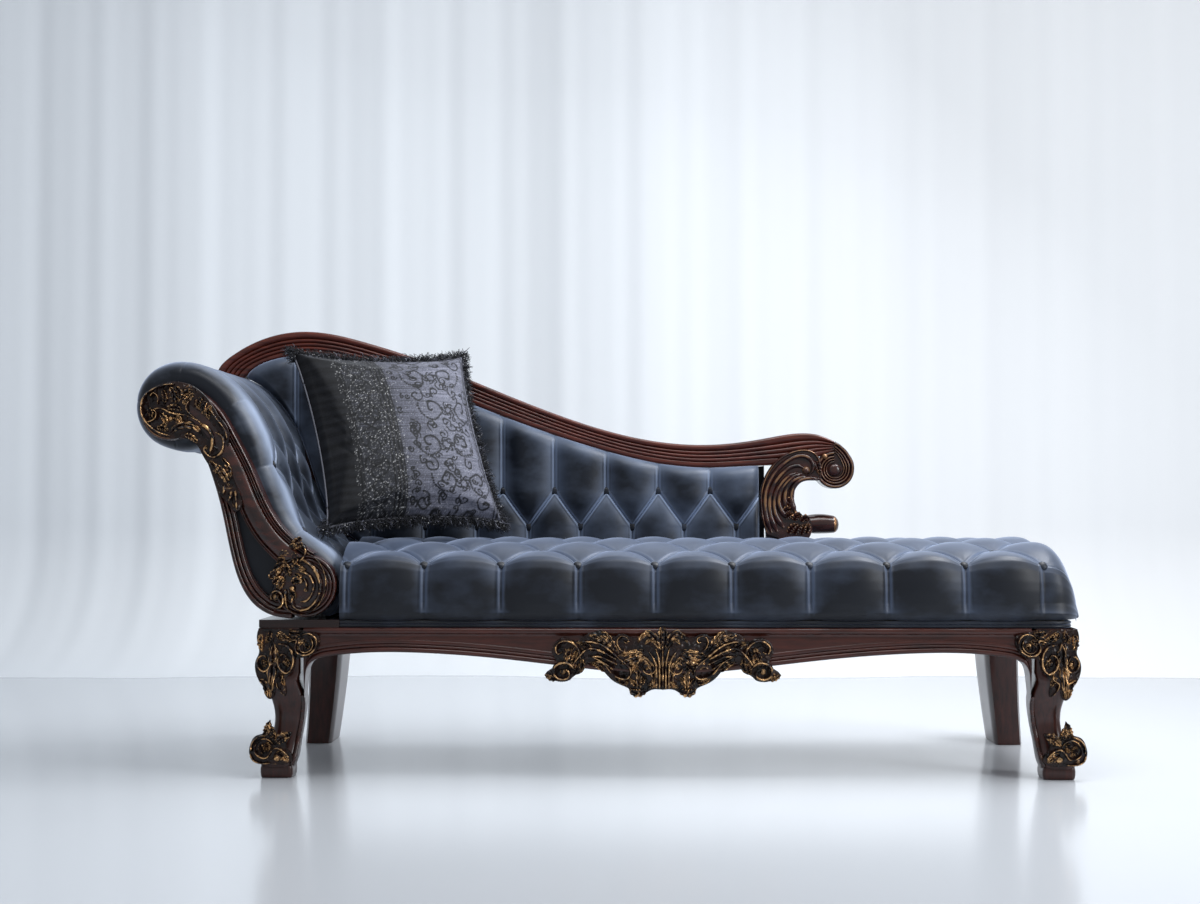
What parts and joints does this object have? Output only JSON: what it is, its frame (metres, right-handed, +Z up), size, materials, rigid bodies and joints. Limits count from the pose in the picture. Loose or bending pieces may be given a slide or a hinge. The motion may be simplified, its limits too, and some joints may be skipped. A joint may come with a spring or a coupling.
{
  "type": "chaise longue",
  "caption": "Carved chaise longue with a rolled head-end arm, a sweeping crest rail, cabriole front legs, buttoned velvet upholstery and a loose fringed cushion.",
  "frame": {"origin": "on the floor under the middle of the whole piece", "axes": "+X along the seat towards the foot end, +Y towards the back, +Z up"},
  "size_m": [1.8494, 0.6735, 0.9098],
  "materials": {
    "mahogany": "dark red-brown mahogany, french polished",
    "beech": "plain planed hardwood, hidden",
    "gilt": "antique gold rubbed over carved wood",
    "velvet": "slate blue-grey velvet",
    "welt_cloth": "piping covered in the seat's velvet",
    "jute": "woven jute strap",
    "hessian": "plain hessian",
    "black_lining": "thin black lining cloth",
    "damask": "charcoal and silver figured silk",
    "fringe_thread": "twisted grey thread with small glass beads"
  },
  "bodies": {
    "frame": {"apron_cartouche": "gilt", "arm_base_board": "mahogany", "arm_buttons": "velvet", "arm_facing": "mahogany", "arm_inset_panel": "velvet", "arm_outside_panel": "velvet", "arm_pad": "velvet", "arm_rear_board": "beech", "arm_rosette": "gilt", "arm_slats": "beech", "arm_stile": "mahogany", "arm_volute_carving": "gilt", "back_bottom_rails": "beech", "back_buttons": "velvet", "back_pad": "velvet", "back_posts": "beech", "back_seat_rail": "beech", "corner_braces": "beech", "crest_rail": "mahogany", "cross_rails": "beech", "dust_cover": "black_lining", "end_scroll": "mahogany", "foot_end_rail": "beech", "front_left_leg": "mahogany", "front_rail": "mahogany", "front_right_leg": "mahogany", "head_end_rail": "beech", "left_foot_carving": "gilt", "left_knee_carving": "gilt", "outside_back_panel": "velvet", "rear_left_leg": "mahogany", "rear_right_leg": "mahogany", "right_foot_carving": "gilt", "right_knee_carving": "gilt", "seat_buttons": "velvet", "seat_deck": "hessian", "seat_pad": "velvet", "seat_stuffing": "hessian", "seat_welts": "welt_cloth", "webbing_cross": "jute", "webbing_long": "jute"},
    "scatter_cushion": {"cushion_cover": "damask", "cushion_fringe": "fringe_thread"}
  },
  "joints": [
    {"name": "cushion_lift", "type": "slide", "parent": "frame", "child": "scatter_cushion", "axis": [0, -0.3, 0.9539], "range_m": [0, 0.45]}
  ]
}
